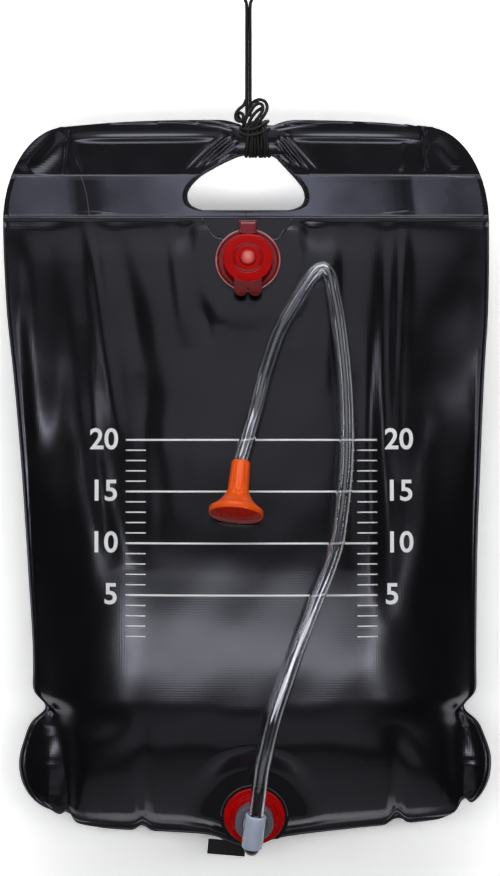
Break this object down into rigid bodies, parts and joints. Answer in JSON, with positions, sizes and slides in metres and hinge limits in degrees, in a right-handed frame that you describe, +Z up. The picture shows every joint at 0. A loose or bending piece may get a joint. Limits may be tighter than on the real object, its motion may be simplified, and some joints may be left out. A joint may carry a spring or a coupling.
{
  "type": "camp shower bag",
  "caption": "Black welded-film water bag hanging by a hitched cord, with a capped filler valve, a bottom outlet with T connector, and a clear hose to a push-pull spray head.",
  "frame": {"origin": "inside the crown of the hanging cord's loop, from which the bag hangs", "axes": "+Z up; -Y out of the bag's front, where the fittings are; +X to the right as seen from the front"},
  "size_m": [0.4015, 0.144, 0.741],
  "materials": {
    "film": "black PVC film with a faint cross emboss and a soft sheen",
    "band": "glossier dark grey film",
    "red": "glossy red PVC",
    "clear_red": "translucent red PVC",
    "clear_grey": "translucent grey PVC",
    "milky": "milky polyethylene",
    "black": "black moulded plastic",
    "rubber": "black rubber",
    "clear": "clear PVC hose",
    "orange": "glossy orange plastic",
    "dark_orange": "darker orange plastic",
    "cord": "black braided cord"
  },
  "bodies": {
    "bag": {"front_panel": "film", "back_panel": "film", "handle_band": "band", "header_liner": "film", "bottom_tab": "film", "filler_patch": "film", "filler_flange": "clear_red", "cap_strap": "clear_red", "outlet_patch": "film", "outlet_flange": "red", "outlet_collar": "clear_grey", "hose": "clear", "spray_stem": "black", "stem_o_ring": "rubber", "hanging_rope": "cord", "rope_knot": "cord", "rope_hitch": "cord"},
    "cap": {"filler_cap": "red"},
    "connector": {"elbow_body": "milky", "elbow_o_ring": "rubber", "hose_barb": "black", "elbow_plug": "black"},
    "head": {"spray_head": "orange", "spray_rose": "dark_orange"}
  },
  "joints": [
    {"name": "cap_hinge", "type": "hinge", "parent": "bag", "child": "cap", "pos_m": [0.0016, -0.00846, -0.21897], "axis": [-1, 0, 0], "range_deg": [0, 150], "deforming": ["cap_strap"]},
    {"name": "elbow_swivel", "type": "hinge", "parent": "bag", "child": "connector", "pos_m": [0.0068, -0.01815, -0.70253], "axis": [0, -0.9511, -0.309], "range_deg": [-12, 12], "deforming": ["hose"]},
    {"name": "spray_pull", "type": "slide", "parent": "bag", "child": "head", "axis": [-0.0924, -0.3242, -0.9415], "range_m": [0, 0.006]}
  ]
}
